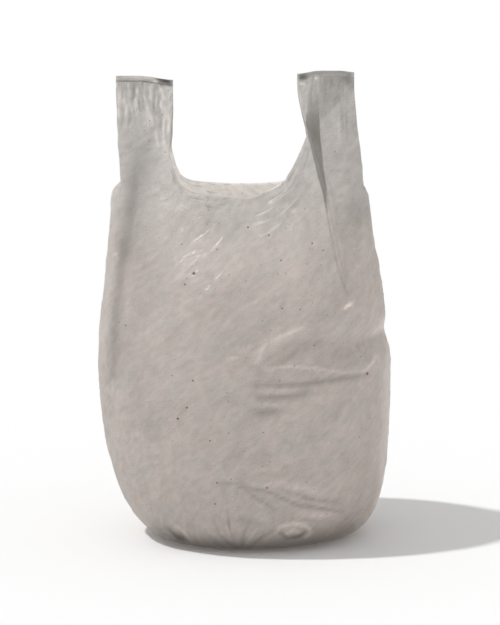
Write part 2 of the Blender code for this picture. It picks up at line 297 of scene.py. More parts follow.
# Folds of the front, in mm across and up from the point looked at, as seen from the front:
# (half width, height out of the film, points along it)
FOLDS = (
    (6.0, 1.7, ((6, -52), (14, -36), (34, -24), (57, -13))),
    (1.5, 0.5, ((7, -42), (15, -30), (35, -23), (57, -13))),
    (7.0, -1.7, ((22, -52), (42, -40), (60, -30), (76, -26))),
    (2.0, 0.9, ((14, -57), (40, -54), (75, -57), (100, -60), (110, -63))),
    (2.4, 1.6, ((110, -63), (120, -50), (127, -42))),
    (3.2, -1.6, ((5, -73), (50, -72), (100, -65), (118, -62))),
    (3.5, -0.9, ((4, -86), (30, -84), (60, -79))),
    (5.0, -0.7, ((3, -100), (30, -98))),
    (3.6, -2.4, ((134, -17), (122, -23), (112, -30), (98, -33))),
    (1.8, 0.9, ((128, -19), (114, -28))),
    (3.0, -0.7, ((35, 32), (44, 38), (50, 46))),
    (2.2, -0.5, ((-2, 12), (8, 15))),
    (2.0, -0.5, ((-87, -41), (-70, -38), (-50, -35))),
    (1.2, 0.7, ((-24, -47), (-10, -46))),
    (2.0, 0.5, ((-75, -28), (-55, -20))),
    (2.6, 0.6, ((-135, 78), (-105, 80), (-75, 84))),
    (2.6, 0.5, ((-135, 68), (-100, 72), (-80, 73))),
    (2.4, 0.6, ((-140, -84), (-95, -78), (-50, -75))),
    (2.4, 0.5, ((-140, -96), (-100, -90), (-70, -88))),
    (3.0, -1.3, ((5, -178), (30, -184), (60, -193), (95, -203))),
    (2.0, 0.9, ((20, -179), (55, -187), (90, -198))),
    (3.0, -1.2, ((-38, -158), (-15, -174), (5, -193), (35, -205))),
    (2.6, 0.9, ((-30, -150), (0, -168), (40, -180), (85, -190))),
    (3.5, -2.2, ((40, -210), (65, -209), (90, -208))),
    (3.0, -1.4, ((62, -223), (80, -216), (95, -210))),
    (3.0, -1.6, ((-48, -220), (-38, -227), (-30, -233))),
    (3.0, -1.6, ((-73, -214), (-68, -222), (-62, -230))),
    (2.6, -1.0, ((-28, -198), (-25, -206), (-22, -216))),
    (3.0, 1.2, ((-60, -214), (-52, -222), (-46, -232))),
    (1.4, 0.8, ((10, 112), (24, 118), (38, 128), (46, 142), (51, 158))),
    (1.3, 0.7, ((14, 106), (28, 112), (42, 123), (50, 140))),
    (1.3, 0.6, ((22, 103), (34, 108), (46, 119), (53, 132))),
    (1.2, 0.7, ((24, 97), (32, 101), (38, 106))),
    (1.2, 0.6, ((34, 96), (42, 101), (48, 107))),
)

# Painted shade and painted highlights of the film, in mm as the folds are: darker where shade
# falls in folds, creases and under the base, paler where light catches a crease: (half width,
# share of tone added, points along it)
PAINTED_SHADE_AND_HIGHLIGHTS = (
    (10.0, -0.30, ((-104, 175), (-110, 148), (-116, 115), (-120, 85), (-126, 50))),
    (6.0, -0.26, ((-126, 75), (-131, 20), (-135, -30), (-138, -70))),
    (16.0, -0.10, ((-100, 120), (-105, 60), (-112, 0), (-118, -60), (-110, -120))),
    (3.0, -0.26, ((5, -73), (50, -72), (100, -65), (118, -62))),
    (4.0, -0.34, ((4, -86), (30, -84), (60, -79))),
    (4.5, -0.32, ((3, -100), (30, -98))),
    (2.6, 0.16, ((8, -79), (40, -78), (80, -72))),
    (2.6, 0.14, ((4, -93), (40, -91), (90, -84))),
    (5.0, 0.12, ((9, -50), (18, -36), (34, -24), (50, -14))),
    (18.0, 0.08, ((5, 78), (30, 60), (44, 40), (38, 15))),
    (14.0, 0.06, ((84, 200), (92, 160))),
    (1.1, -0.30, ((78, 95), (84, 60), (90, 38), (96, 18))),
    (7.0, -0.14, ((22, -52), (50, -35), (78, -26))),
    (13.0, -0.18, ((100, 112), (108, 85))),
    (9.0, -0.60, ((-100, -214), (-75, -226), (-40, -234), (0, -237), (50, -233), (85, -224),
                  (105, -210))),
    (26.0, -0.11, ((-95, -205), (-40, -225), (10, -228), (60, -225), (105, -200))),
    (2.6, -0.75, ((-94, 234), (-79, 229))),
    (1.8, 0.40, ((-134, 234.2), (-104, 233.8), (-92, 232))),
    (0.9, -0.50, ((-97, 236.5), (-88, 233.5), (-79, 230))),
    (0.9, 0.60, ((-97, 231), (-92, 229))),
    (0.9, 0.60, ((-88, 236), (-84, 234))),
    (1.3, -0.24, ((-92, 218), (-90, 200), (-88, 181))),
    (1.3, -0.24, ((-97, 210), (-93, 196))),
    (1.2, -0.20, ((-111, 218), (-110, 200))),
    (1.2, -0.24, ((-79.5, 216), (-79, 196))),
    (0.9, -0.26, ((91, 208), (93, 180))),
    (0.9, -0.26, ((96, 205), (97, 172))),
    (0.9, 0.24, ((88, 196), (89, 172))),
    (1.0, 0.50, ((50, 229), (56, 227))),
    (1.6, -0.34, ((-30, -169), (22, -180), (45, -192), (93, -199))),
    (1.6, -0.30, ((-5, -178), (13, -190), (27, -197))),
    (1.4, -0.26, ((30, -176), (60, -186), (92, -190))),
    (4.0, 0.22, ((48, -200), (90, -205))),
    (3.0, 0.16, ((0, -172), (30, -170), (70, -180))),
    (1.8, 0.42, ((25, -222), (30, -214), (43, -211), (56, -213), (61, -219), (54, -226))),
    (1.8, 0.30, ((42, -227), (36, -221), (43, -217), (50, -219))),
    (2.0, -0.50, ((28, -219), (38, -225), (50, -223), (56, -217))),
    (1.7, -0.22, ((-14, -236), (-30, -222), (-38, -204))),
    (1.3, -0.30, ((-11, -237), (-20, -219), (-23, -196))),
    (1.8, -0.20, ((-8, -235), (-6, -220), (2, -204))),
    (1.3, -0.26, ((-2, -236), (12, -224), (24, -217))),
    (2.6, -0.16, ((-30, -212), (-10, -206), (12, -212))),
    (1.5, 0.20, ((-12, -233), (-26, -210))),
    (1.6, 0.22, ((-4, -232), (8, -214))),
    (2.2, -0.40, ((-82, -214), (-74, -222), (-66, -228))),
    (1.6, 0.30, ((-76, -212), (-66, -220), (-58, -228))),
    (1.2, -0.30, ((48, 237), (60, 240), (90, 241), (103, 239))),
    (3.0, -0.65, ((49, 235), (57, 235))),
    (5.0, -0.45, ((94, 236), (100, 228))),
    (1.6, 0.60, ((65, 236), (67, 233))),
    (2.2, 0.70, ((20, 111), (21, 109))),
    (1.1, 0.45, ((33, 104), (38, 108))),
    (0.9, 0.35, ((26, 103), (30, 106))),
    (0.9, 0.35, ((40, 98), (45, 103))),
    (0.9, 0.35, ((22, 116), (40, 130), (48, 146))),
    (1.6, 0.75, ((93, 3), (96, 6), (101, 9))),
    (1.2, 0.45, ((-24, -46.5), (-11, -45.5))),
    (1.2, 0.45, ((-135, 60), (-132, 54))),
    (1.6, 0.30, ((110, -62), (119, -52), (126, -42))),
    (1.4, 0.28, ((14, -57), (40, -54), (75, -57), (100, -60))),
    (1.6, 0.28, ((30, -25), (57, -13))),
    (1.6, 0.24, ((7, -52), (10, -42), (15, -32), (30, -25))),
)

# Gathers of the left handle, below its seal, raised as ridges and painted with highlights along
# them, in mm as the folds are
GATHERS = (
    ((-85, 206), (-84, 196), (-86, 188), (-86, 176), (-84, 163)),
    ((-103, 214), (-102, 203), (-99.5, 196), (-96, 187)),
    ((-124.5, 220), (-126, 211), (-122.5, 202.5), (-123.5, 185)),
    ((-120, 211), (-116, 194)),
    ((-114, 224), (-108, 209)),
    ((-106, 218), (-104, 210)),
    ((-101, 226), (-98.5, 219)),
    ((-89, 224), (-85.5, 213), (-80, 209)),
    ((-82, 200), (-80, 188), (-82, 178)),
    ((-131, 221), (-130, 207)),
    ((-94, 180), (-91, 166)),
)
GATHER_HALF_WIDTH = 1.3
GATHER_HEIGHT = 1.2
GATHER_PAINTED_HIGHLIGHT = 0.36

# Outlines of painted shade and painted light, in mm as the folds are: the painted shadow beside
# the right handle's pleat, the painted shade of the corner folded over behind that handle, and
# the left gusset's strip, painted paler where it faces the lamp
PAINTED_LIGHT_OUTLINES = (
    ((59, 228), (68, 228), (69, 213), (70, 175), (73, 151), (75, 131), (77, 107), (81, 77),
     (73, 115), (66, 143), (60, 167), (55, 185), (57, 203), (58, 216)),
    ((69, 236), (94, 236), (94, 217), (78, 199), (70, 193)),
    ((-150, 133), (-129, 130), (-133, 93), (-136, 53), (-140, 13), (-142, -28), (-155, -33)),
)

# Dark specks of the front in mm, as (across, up, radius)
SPECKS = (
    (-56, 39, 1.9), (-65, 28, 1.2), (-72, -106, 1.5), (-63, -95, 1.3), (-57, -68, 1.2),
    (-40, -128, 1.1), (-33, -170, 1.1), (-35, -191, 1.1), (117, -61, 1.6), (19, 77, 1.2),
    (-2, 85, 1.3), (62, 69, 1.1), (73, 62, 1.0), (99, 198, 1.1), (93, 216, 1.3),
    (31, 52, 1.1), (17, -175, 1.1), (-68, 68, 0.9), (-33, 63, 0.9), (50, 3, 1.0),
    (32, 4, 1.1), (64, -33, 1.0), (-124, -13, 1.0), (-78, -63, 0.8), (-110, 210, 1.2),
)


def ease(value):
    """A smooth step from 0 to 1."""
    t = min(max(value, 0.0), 1.0)
    return t * t * (3 - 2 * t)


def hump(value, centre, spread):
    """A rounded bump of height 1 at its centre."""
    return math.exp(-(((value - centre) / spread) ** 2))


def mix(low, high, share):
    return low + (high - low) * share


def choose(side, left, right):
    return left if side < 0 else right


def top_height(side):
    return choose(side, LEFT_TOP, RIGHT_TOP)


def seal_foot(side):
    """The height at which a handle's seal begins."""
    return top_height(side) - SEAL_HEIGHT


def shoulder(side):
    """The height at which the notch's corner turns into the handle's cut edge."""
    return NOTCH_HEIGHT + choose(side, LEFT_SHOULDER_RISE, RIGHT_SHOULDER_RISE)


def filled_out(height, fullness):
    """How far the base's curve has swelled from the foot to the belly, from 0 to 1."""
    fall = 1 - min(max(height / BELLY_HEIGHT, 0.0), 1.0)
    return (1 - fall**fullness) ** (1 / fullness)


def half_sizes(side, height):
    """Half the width and half the depth of the section at a height."""
    belly_x = BODY_WIDTH / 2
    belly_y = BODY_DEPTH / 2
    if height < BELLY_HEIGHT:
        foot_x = FOOT_WIDTH / 2 + side * FOOT_SHIFT
        across = filled_out(height, LEFT_FULLNESS if side < 0 else RIGHT_FULLNESS)
        along = filled_out(height, FRONT_FULLNESS)
        return mix(foot_x, belly_x, across), mix(FOOT_DEPTH / 2, belly_y, along)
    climb = min((height - BELLY_HEIGHT) / (NOTCH_HEIGHT - BELLY_HEIGHT), 1.0)
    share = 0.5 - 0.5 * math.cos(math.pi * climb**UPPER_FULLNESS)
    mouth_x = MOUTH_WIDTH / 2 + side * MOUTH_SHIFT
    return mix(belly_x, mouth_x, share), mix(belly_y, MOUTH_DEPTH / 2, share)


def crease_angle(side, height):
    """Where the gusset crease lies round the section, from the panel's middle."""
    belly = PANEL_WIDTH / BODY_WIDTH
    climb = (height - BELLY_HEIGHT) / (NOTCH_HEIGHT - BELLY_HEIGHT)
    return mix(belly, choose(side, LEFT_CREASE_ANGLE, RIGHT_CREASE_ANGLE), ease(climb))


def strip_angle(half_x, half_y, crease):
    """The angle at which the handle's strip of panel ends, measured along the curve."""
    steps = 8
    angle = crease
    for _ in range(steps):
        reach = math.hypot(half_x * math.cos(angle), half_y * math.sin(angle))
        angle -= HANDLE_WIDTH / steps / reach
    return max(angle, SMALLEST_ANGLE)


def gusset_point(side, start, half_x, height, share):
    """A point of the gusset between its crease and its inner fold."""
    fold_in = ease((height - TUCK_START) / (NOTCH_HEIGHT - TUCK_START))
    bulge = choose(side, LEFT_GUSSET_BULGE, RIGHT_GUSSET_BULGE)
    inner = mix(half_x, abs(start[0]) - (GUSSET_DEPTH - TUCK_ROUND), fold_in)
    outer = mix(half_x, half_x + bulge, fold_in)
    bend_y = start[1] * mix(GUSSET_BEND_LOW, GUSSET_BEND_TOP, fold_in)
    a, b, c = (1 - share) ** 2, 2 * share * (1 - share), share**2
    return a * start[0] + (b * outer + c * inner) * side, a * start[1] + b * bend_y


def body_point(side, front, along, height):
    """The puffed section: along runs from the panel's middle to the gusset's inner fold."""
    half_x, half_y = half_sizes(side, height)
    crease = crease_angle(side, height)
    edge = strip_angle(half_x, half_y, crease)
    if along <= STRIP_EDGE:
        angle = edge * along / STRIP_EDGE
    else:
        angle = mix(edge, crease, (along - STRIP_EDGE) / HANDLE_WIDTH)
    angle = min(angle, crease)
    start = (side * half_x * math.sin(angle), front * half_y * math.cos(angle))
    if along <= HALF_PANEL:
        return start
    return gusset_point(side, start, half_x, height, (along - HALF_PANEL) / GUSSET_DEPTH)


def seal_point(side, front, along):
    """Where the same film ends in the flat, four-layered seal of its handle."""
    distance = abs(along - HALF_PANEL)
    lip = min(distance / CREASE_LIP, 1.0) * LAYER_PITCH / 2
    layer = LAYER_PITCH + (lip if along <= HALF_PANEL else -lip)
    x = choose(side, LEFT_SEAL_X, RIGHT_SEAL_X) + side * (HALF_SEAL - distance)
    return x, front * layer


def corner_power(side, front):
    """How squarely the rim turns up into a handle."""
    if front > 0:
        return choose(side, LEFT_BACK_CORNER_POWER, RIGHT_BACK_CORNER_POWER)
    return choose(side, LEFT_CORNER_POWER, RIGHT_CORNER_POWER)


def rim_height(side, front, along):
    """The cut edge of the notch: a shallow sag with a rounded corner at each end."""
    rise = shoulder(side) - NOTCH_HEIGHT
    if along <= STRIP_EDGE:
        near = along / STRIP_EDGE
        corner = near ** corner_power(side, front)
        return NOTCH_HEIGHT + rise * mix(corner, near**2, RIM_SAG_SHARE)
    past = (along - HALF_PANEL - HANDLE_WIDTH) / (GUSSET_DEPTH - HANDLE_WIDTH)
    if past <= 0:
        return NOTCH_HEIGHT + rise
    return NOTCH_HEIGHT + rise * (1 - math.sqrt(max(1 - (1 - past) ** 2, 0.0)))


def folded_point(column, height):
    """A point of the puffed section with its larger folds."""
    side, front, along = column
    x, y = body_point(side, front, along, height)
    depth = fold_depth(side, front, along, height)
    scale = 1 + depth / math.hypot(x, y)
    return x * scale, y * scale


def pleat(along, height):
    """A sharp ridge in line with the right handle's cut edge, and the valley outside it."""
    grown = ease((height - PLEAT_START) / PLEAT_GROWTH)
    faded = ease((height - PLEAT_FADE) / PLEAT_FADE_LENGTH)
    upper = grown * mix(1.0, PLEAT_TOP_SHARE, faded)
    past = along - STRIP_EDGE
    if past <= 0:
        return PLEAT_HEIGHT * upper * math.exp(past / PLEAT_REACH)
    if past < PLEAT_LIP:
        return upper * mix(PLEAT_HEIGHT, -PLEAT_STEP, past / PLEAT_LIP)
    if past < PLEAT_VALLEY:
        share = (past - PLEAT_LIP) / (PLEAT_VALLEY - PLEAT_LIP)
        return upper * mix(-PLEAT_STEP, -PLEAT_HEIGHT, share)
    return -PLEAT_HEIGHT * upper * math.exp((PLEAT_VALLEY - past) / PLEAT_REACH)


def groove(along, height, place, growth, fade):
    """A groove that runs up beside a gusset crease, fading at both ends."""
    beside, spread = place
    grown = ease((height - growth[0]) / growth[1])
    faded = ease((height - fade[0]) / fade[1])
    return GROOVE_DEPTH * grown * (1 - faded) * hump(along, HALF_PANEL - beside, spread)


def fold_depth(side, front, along, height):
    """How far the larger folds stand out of, or into, the smooth form."""
    depth = 0.0
    if side > 0:
        dent = hump(height, DENT_HEIGHT, DENT_SPREAD_UP)
        depth -= DENT_DEPTH * dent * hump(along, HALF_PANEL, DENT_SPREAD_ROUND)
        if front < 0:
            depth += pleat(along, height)
    elif front < 0:
        depth -= groove(along, height, LEFT_FRONT_GROOVE, LEFT_FRONT_GROWTH, LEFT_FRONT_FADE)
    if front > 0:
        fade = (shoulder(side), BACK_FADE_LENGTH)
        depth -= groove(along, height, BACK_GROOVE, BACK_GROWTH, fade)
    return depth


def seal_droop(side, inner):
    """How far the seal hangs below its highest point, from its crease to its inner end."""
    start = choose(side, LEFT_DROOP_START, RIGHT_DROOP_START)
    hang = ease((inner - start) / (1 - start))
    if side < 0:
        return LEFT_SEAL_DROOP * hang
    return RIGHT_SEAL_DROOP * hang + RIGHT_CORNER_DROP * (1 - ease(inner / RIGHT_CORNER_SHARE))


def handle_place(column, height):
    """A vertex of a handle, between the puffed section and the flat seal."""
    side, front, along = column
    climb = min((height - HANDLE_START) / (seal_foot(side) - HANDLE_START), 1.0)
    base_x, base_y = folded_point(column, min(height, NOTCH_HEIGHT))
    end_x, end_y = seal_point(side, front, along)
    near = 1.0
    if along < STRIP_EDGE:
        near = math.sqrt(max(1 - (STRIP_EDGE - along) / HANDLE_WIDTH, 0.0))
    x = mix(base_x, end_x, ease(climb) * near)
    y = mix(base_y, end_y, climb * near)
    inner = min(max((HALF_PANEL - along) / HANDLE_WIDTH, 0.0), 1.0)
    wave = noise.noise(Vector((5.0, side, height * EDGE_WAVES)))
    x += EDGE_WOBBLE * wave * math.sin(math.pi * climb) * near
    droop = seal_droop(side, inner) * near * ease(climb)
    if HALF_PANEL < along <= HALF_PANEL + HANDLE_WIDTH + TINY:
        return beside_panel_strip((x, y), column, height, climb)
    return x, y, height - droop


def beside_panel_strip(place, column, height, climb):
    """Above the notch a gusset strip lies close behind the panel strip it is folded from."""
    side, front, along = column
    x, y, z = handle_place((side, front, PANEL_WIDTH - along), height)
    apart = mix(LOOP_GAP, LAYER_PITCH, climb)
    y -= front * apart * min((along - HALF_PANEL) / mix(LOOP_GAP, CREASE_LIP, climb), 1.0)
    reach = mix(*STRIP_JOIN_REACH, (along - HALF_PANEL) / HANDLE_WIDTH)
    join = ease((height - NOTCH_HEIGHT + STRIP_JOIN_START) / reach)
    return mix(place[0], x, join), mix(place[1], y, join), mix(height, z, join)


def pinched_waves(side, x, z):
    """The waves that run down a handle from its pinched seal, the same for every layer."""
    below = seal_foot(side) - z
    near = max(1 - below / choose(side, LEFT_PINCH_LENGTH, RIGHT_PINCH_LENGTH), 0.0)
    if below < 0 or near <= 0:
        return 0.0
    lean = x + PINCH_LEAN * below
    pinch = 0.0
    for height, across, up, seed in PINCH_WAVES:
        pinch += height * noise.noise(Vector((lean * across, z * up, seed * side)))
    return pinch * near * ease(below / PINCH_RISE)


def film_place(column, row):
    """A vertex of the body, from the base disc up to the notch."""
    share, height, to_rim = row
    if to_rim:
        height = mix(height, rim_height(*column), to_rim)
    if height > HANDLE_START:
        return handle_place(column, height)
    x, y = folded_point(column, height)
    return x * share, y * share, height


def column_places():
    """Each column as (side, front, distance along the film from the panel's middle)."""
    runs = []
    for side, front in ((-1, 1), (-1, -1), (1, -1), (1, 1)):
        notch = (BACK_NOTCH_COLUMNS if front > 0 else FRONT_NOTCH_COLUMNS) // 2
        strips = BACK_STRIP_COLUMNS if front > 0 else FRONT_STRIP_COLUMNS
        lip = HALF_PANEL - CREASE_LIP
        outward = [STRIP_EDGE * i / notch for i in range(notch)]
        outward += [mix(STRIP_EDGE, lip, i / (strips - 2)) for i in range(strips - 1)]
        outward += [HALF_PANEL]
        start = HALF_PANEL + CREASE_LIP
        end = HALF_PANEL + HANDLE_WIDTH
        outward += [mix(start, end, i / (GUSSET_COLUMNS - 2)) for i in range(GUSSET_COLUMNS - 1)]
        outward += [(end + HALF_PANEL + GUSSET_DEPTH) / 2, HALF_PANEL + GUSSET_DEPTH]
        runs.append((side, front, outward if side * front < 0 else outward[::-1]))
    return [(side, front, along) for side, front, run in runs for along in run[:-1]]


def body_rows():
    """Body rows as (share of the foot's radius, height, share of the way to the rim)."""
    start = BASE_DISC / (FOOT_DEPTH / 2)
    rows = [(mix(start, 1.0, i / FOOT_ROWS), 0.0, 0.0) for i in range(FOOT_ROWS)]
    for i in range(CURVE_ROWS):
        turn = math.pi / 2 * i / CURVE_ROWS
        rows.append((1.0, BELLY_HEIGHT * (1 - math.cos(turn)), 0.0))
    for i in range(WALL_ROWS):
        rows.append((1.0, mix(BELLY_HEIGHT, MOUTH_START, i / WALL_ROWS), 0.0))
    for i in range(RIM_ROWS + 1):
        rows.append((1.0, MOUTH_START, i / RIM_ROWS))
    return rows


def in_handle(column):
    """Whether a column goes on past the notch into a handle."""
    return STRIP_EDGE - TINY <= column[2] <= HALF_PANEL + HANDLE_WIDTH + TINY


def handle_height(side, step):
    """The heights of a handle's rows above the shoulder, the last being the seal's top."""
    left = HANDLE_ROWS - 1 - step
    if left <= len(SEAL_ROWS):
        return top_height(side) - SEAL_ROWS[-left] if left else top_height(side)
    share = (step + 1) / (HANDLE_ROWS - 1 - len(SEAL_ROWS))
    return mix(shoulder(side), seal_foot(side) - SEAL_ROWS[-1], share)


def film_surface():
    """The liner's film as one sheet of quads, with its seals closed."""
    columns = column_places()
    rows = body_rows()
    count = len(columns)
    bm = bmesh.new()
    bmesh.ops.create_grid(
        bm, x_segments=count, y_segments=len(rows) - 1 + HANDLE_ROWS, size=1.0
    )
    bm.verts.ensure_lookup_table()
    width = count + 1
    grid = [bm.verts[i : i + width] for i in range(0, len(bm.verts), width)]
    lengths = [round_film(columns, i) for i in range(width)]
    flat = {}
    below = {}
    unused = []
    for j, line in enumerate(grid):
        for i, vert in enumerate(line):
            column = columns[i % count]
            if j < len(rows):
                x, y, z = film_place(column, rows[j])
                climb = z if rows[j][0] >= 1.0 else -(1 - rows[j][0]) * FOOT_DEPTH / 2
            elif in_handle(column):
                climb = handle_height(column[0], j - len(rows))
                x, y, z = handle_place(column, climb)
                z -= LAYER_PITCH if column[2] > HALF_PANEL and j == len(grid) - 1 else 0.0
            else:
                unused.append(vert)
                continue
            y += pinched_waves(column[0], x, z)
            vert.co = (x, y, z)
            flat[vert] = (lengths[i], climb)
            below[vert] = (choose(column[0], -1, 1) * column[2], rim_height(*column) - climb)
    lay_flat(bm, "film", flat)
    lay_flat(bm, "rim", below)
    seams = [(column, grid[-1][i]) for i, column in enumerate(columns) if in_handle(column)]
    bmesh.ops.delete(bm, geom=unused, context="VERTS")
    close_seals(bm, seams)
    reach = BASE_DISC * BASE_DISC_REACH
    disc = [e for e in bm.edges if e.is_boundary and e.verts[0].co.xy.length < reach]
    bmesh.ops.contextual_create(bm, geom=[e for e in disc if e.verts[1].co.z < BASE_DISC])
    bmesh.ops.remove_doubles(bm, verts=bm.verts, dist=TINY)
    bmesh.ops.recalc_face_normals(bm, faces=bm.faces)
    return bm


def round_film(columns, i):
    """The distance round the film, from the middle of the front panel."""
    count = len(columns)
    side, front, along = columns[i % count]
    if front < 0:
        return side * along
    half_round = PANEL_WIDTH + 2 * GUSSET_DEPTH
    left = i < count // 2
    return -(half_round - along) if left else half_round - along


def lay_flat(bm, name, places):
    """Record a map of the film: two numbers for each vertex."""
    layer = bm.loops.layers.uv.new(name)
    for face in bm.faces:
        for loop in face.loops:
            if loop.vert in places:
                loop[layer].uv = places[loop.vert]


def close_seals(bm, seams):
    """Join the front and back layers of each handle over its top."""
    for side in (-1, 1):
        edge = {}
        for column, vert in seams:
            if column[0] == side:
                edge.setdefault(column[1], []).append((column[2], vert))
        front = [v for _, v in sorted(edge[-1], key=lambda e: e[0])]
        back = [v for _, v in sorted(edge[1], key=lambda e: e[0])]
        join_rows(bm, front, back)


def join_rows(bm, front, back):
    """Bridge two rows of vertices that may have different counts, end to end."""
    i = j = 0
    while i < len(front) - 1 or j < len(back) - 1:
        ahead = (i + 1) / (len(front) - 1) <= (j + 1) / (len(back) - 1)
        if i < len(front) - 1 and (ahead or j == len(back) - 1):
            bm.faces.new((front[i], front[i + 1], back[j]))
            i += 1
        else:
            bm.faces.new((front[i], back[j + 1], back[j]))
            j += 1


def seen_from_front(places):
    """Where points lie across and up, in metres, as seen from the eye's place."""
    rel = places - np.array(LOOK_AT)
    depth = EYE_DISTANCE + rel[:, 1] * math.cos(EYE_TILT) - rel[:, 2] * math.sin(EYE_TILT)
    up = rel[:, 2] * math.cos(EYE_TILT) + rel[:, 1] * math.sin(EYE_TILT)
    return rel[:, 0] * EYE_DISTANCE / depth, up * EYE_DISTANCE / depth


def along_fold(u, v, points):
    """The distance of each vertex to a fold's line, and how far along the line it lies."""
    nearest = np.full(len(u), 1e9)
    share = np.zeros(len(u))
    spans = len(points) - 1
    for k in range(spans):
        ax, ay = points[k]
        dx, dy = points[k + 1][0] - ax, points[k + 1][1] - ay
        t = np.clip(((u - ax) * dx + (v - ay) * dy) / (dx * dx + dy * dy), 0, 1)
        away = np.hypot(u - ax - t * dx, v - ay - t * dy)
        closer = away < nearest
        nearest[closer] = away[closer]
        share[closer] = ((k + t) / spans)[closer]
    return nearest, share


def inside_polygon(u, v, corners):
    """The distance of each vertex to a closed outline, positive inside it."""
    away, _ = along_fold(u, v, corners + corners[:1])
    inside = np.zeros(len(u), dtype=bool)
    for (ax, ay), (bx, by) in zip(corners, corners[1:] + corners[:1]):
        spans = (ay > v) != (by > v)
        if ay != by:
            inside ^= spans & (u < ax + (v - ay) * (bx - ax) / (by - ay))
    return np.where(inside, away, -away)


def ripple(run, across, form):
    """One wave of the crumple, from -1 to 1."""
    _, waves_along, waves_across, seed = form
    return noise.noise(Vector((run * waves_along, across * waves_across, seed)))


def crumple(flat):
    """The small dents and slanting streaks of handled film, in metres."""
    run = flat.x * STREAK_ACROSS + flat.y * STREAK_UP
    across = flat.y * STREAK_ACROSS - flat.x * STREAK_UP
    dents = SOFT_DENTS[0] * ripple(run, across, SOFT_DENTS)
    dents += SMALL_DENTS[0] * ripple(run, across, SMALL_DENTS)
    crease = max(1 - abs(ripple(run, across, SHARP_CREASES)) * 2, 0)
    fine = 1 - abs(ripple(run, across, FINE_CREASES)) * 2
    return dents + SHARP_CREASES[0] * crease**CREASE_POWER + FINE_CREASES[0] * fine


def rim_glow(place):
    """How much the inside of the back is painted paler along its rim, as light coming through the
    film.
    """
    grown = ease((place[2] - RIM_GLOW_START) / RIM_GLOW_GROWTH)
    faded = ease((place[2] - RIM_GLOW_FADE) / RIM_GLOW_FADE_LENGTH)
    return RIM_GLOW * grown * (1 - faded) * (place[1] > MIDDLE_CLEAR)


def crease_film(bm):
    """Press the small folds and the crumple into the film, and note its painted shade and light.
    """
    bm.normal_update()
    bm.verts.ensure_lookup_table()
    flat_map = bm.loops.layers.uv["film"]
    shade = bm.verts.layers.float.new("shade")
    # The layers attribute holds each vertex's distance to the outlines of painted shade and light
    layers = bm.verts.layers.float_vector.new("layers")
    places = np.array([v.co for v in bm.verts])
    normals = np.array([v.normal for v in bm.verts])
    u, v = (value * 1000 for value in seen_from_front(places))
    facing = np.clip(-normals[:, 1] * FACING_GAIN, 0, 1) * (places[:, 1] < FRONT_LIMIT)
    push = np.zeros(len(places))
    tone = np.zeros(len(places))
    raised = tuple((GATHER_HALF_WIDTH, GATHER_HEIGHT, points) for points in GATHERS)
    # Painted highlights along the gathers
    glossy = tuple((GATHER_HALF_WIDTH, GATHER_PAINTED_HIGHLIGHT, points) for points in GATHERS)
    # push gathers the folds and raised gathers; tone gathers the painted shade and painted
    # highlights
    for total, marks in ((push, FOLDS + raised), (tone, PAINTED_SHADE_AND_HIGHLIGHTS + glossy)):
        for half_width, amount, points in marks:
            away, share = along_fold(u, v, points)
            taper = np.sqrt(np.clip(4 * share * (1 - share), 0, 1)) * TAPER + (1 - TAPER)
            total += amount * np.exp(-((away / half_width) ** 2)) * taper
    push *= facing * 0.001
    ahead = facing > FACING_LEAST
    edges = [np.where(ahead, inside_polygon(u, v, list(shape)), OUTSIDE) for shape in PAINTED_LIGHT_OUTLINES]
    for k, vert in enumerate(bm.verts):
        z = places[k][2]
        flat = vert.link_loops[0][flat_map].uv
        calm = 1 - ease((z - CALM_START) / CALM_LENGTH) * CALM_SHARE
        ground = ease((z - GROUND_START) / GROUND_LENGTH)
        push[k] += crumple(flat) * calm * ground
        vert.co = places[k] + normals[k] * push[k]
        # The shade attribute holds the painted shade and painted highlights of the marks, plus
        # painted light along the back's rim
        vert[shade] = max(1.0 + tone[k] * facing[k] + rim_glow(places[k]), DARKEST)
        vert[layers] = [edge[k] for edge in edges]


def film_object():
    bm = film_surface()
    crease_film(bm)
    mesh = bpy.data.meshes.new("film")
    bm.to_mesh(mesh)
    bm.free()
    mesh.shade_smooth()
    film = bpy.data.objects.new("liner_skin", mesh)
    bpy.context.scene.collection.objects.link(film)
    wall = film.modifiers.new("wall", "SOLIDIFY")
    wall.thickness = FILM
    wall.offset = 0.0
    return film


def add_node(tree, kind, **settings):
    """A node with the named properties, and the named inputs, set."""
    node = tree.nodes.new(kind)
    for name, value in settings.items():
        if hasattr(node, name):
            setattr(node, name, value)
        else:
            node.inputs[name].default_value = value
    return node


def math_node(tree, operation, first, second=0.5):
    """A Math node fed by sockets or plain numbers; gives its output."""
    node = tree.nodes.new("ShaderNodeMath")
    node.operation = operation
    for socket, value in zip(node.inputs, (first, second)):
        if isinstance(value, (int, float)):
            socket.default_value = value
        else:
            tree.links.new(value, socket)
    return node.outputs[0]


def total(tree, *values):
    """The sum of sockets or plain numbers."""
    result = values[0]
    for value in values[1:]:
        result = math_node(tree, "ADD", result, value)
    return result


def product(tree, *values):
    """The product of sockets or plain numbers."""
    result = values[0]
    for value in values[1:]:
        result = math_node(tree, "MULTIPLY", result, value)
    return result


def spread_node(tree, value, low, high, to_low=0.0, to_high=1.0):
    """A value's range mapped smoothly on another."""
    node = add_node(tree, "ShaderNodeMapRange", interpolation_type="SMOOTHSTEP")
    tree.links.new(value, node.inputs["Value"])
    node.inputs["From Min"].default_value = low
    node.inputs["From Max"].default_value = high
    node.inputs["To Min"].default_value = to_low
    node.inputs["To Max"].default_value = to_high
    return node.outputs["Result"]


